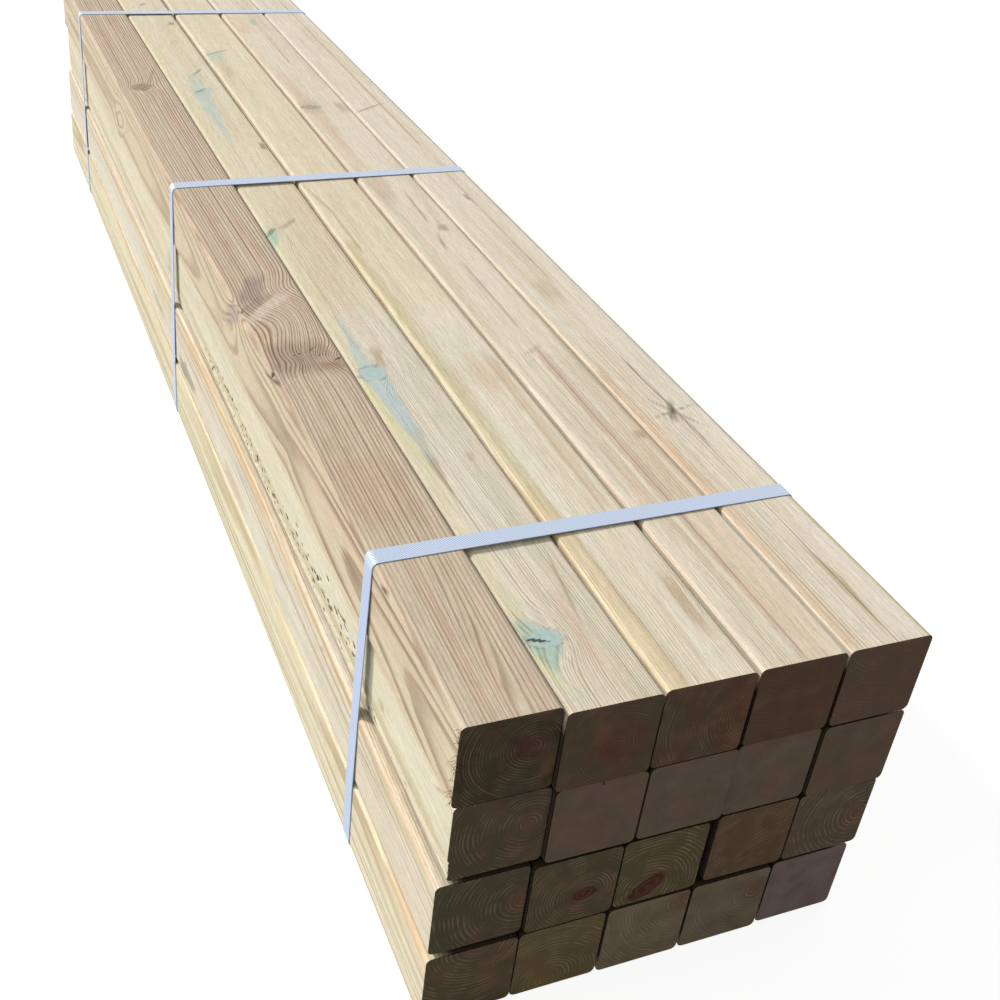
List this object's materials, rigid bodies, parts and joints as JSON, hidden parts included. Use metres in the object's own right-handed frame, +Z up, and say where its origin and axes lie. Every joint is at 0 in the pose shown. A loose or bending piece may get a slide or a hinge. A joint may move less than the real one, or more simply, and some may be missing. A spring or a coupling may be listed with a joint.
{
  "type": "strapped bundle of pine studs",
  "caption": "Strapped stack of planed square treated-pine studs with rounded arrises and taut plastic straps, lying flat.",
  "frame": {"origin": "on the floor under the middle of the bundle, at the underside of the straps that it lies on", "axes": "+X across the front end to the right, +Y along the studs from the front end to the far end, +Z up"},
  "size_m": [0.3638, 1.8052, 0.288],
  "materials": {
    "pine_sapwood": "planed, pressure treated, unfinished",
    "pine_heartwood": "planed, pressure treated, unfinished",
    "strap_polypropylene": "embossed semi-translucent white polypropylene band"
  },
  "bodies": {
    "root": {"stud_r1_c1": "pine_heartwood", "stud_r1_c2": "pine_sapwood", "stud_r1_c3": "pine_sapwood", "stud_r1_c4": "pine_sapwood", "stud_r1_c5": "pine_sapwood", "stud_r2_c1": "pine_sapwood", "stud_r2_c2": "pine_sapwood", "stud_r2_c3": "pine_sapwood", "stud_r2_c4": "pine_sapwood", "stud_r2_c5": "pine_sapwood", "stud_r3_c1": "pine_sapwood", "stud_r3_c2": "pine_sapwood", "stud_r3_c3": "pine_sapwood", "stud_r3_c4": "pine_sapwood", "stud_r3_c5": "pine_sapwood", "stud_r4_c1": "pine_sapwood", "stud_r4_c2": "pine_sapwood", "stud_r4_c3": "pine_sapwood", "stud_r4_c4": "pine_sapwood", "stud_r4_c5": "pine_sapwood", "strap_front": "strap_polypropylene", "strap_middle": "strap_polypropylene", "strap_back": "strap_polypropylene"}
  },
  "joints": []
}
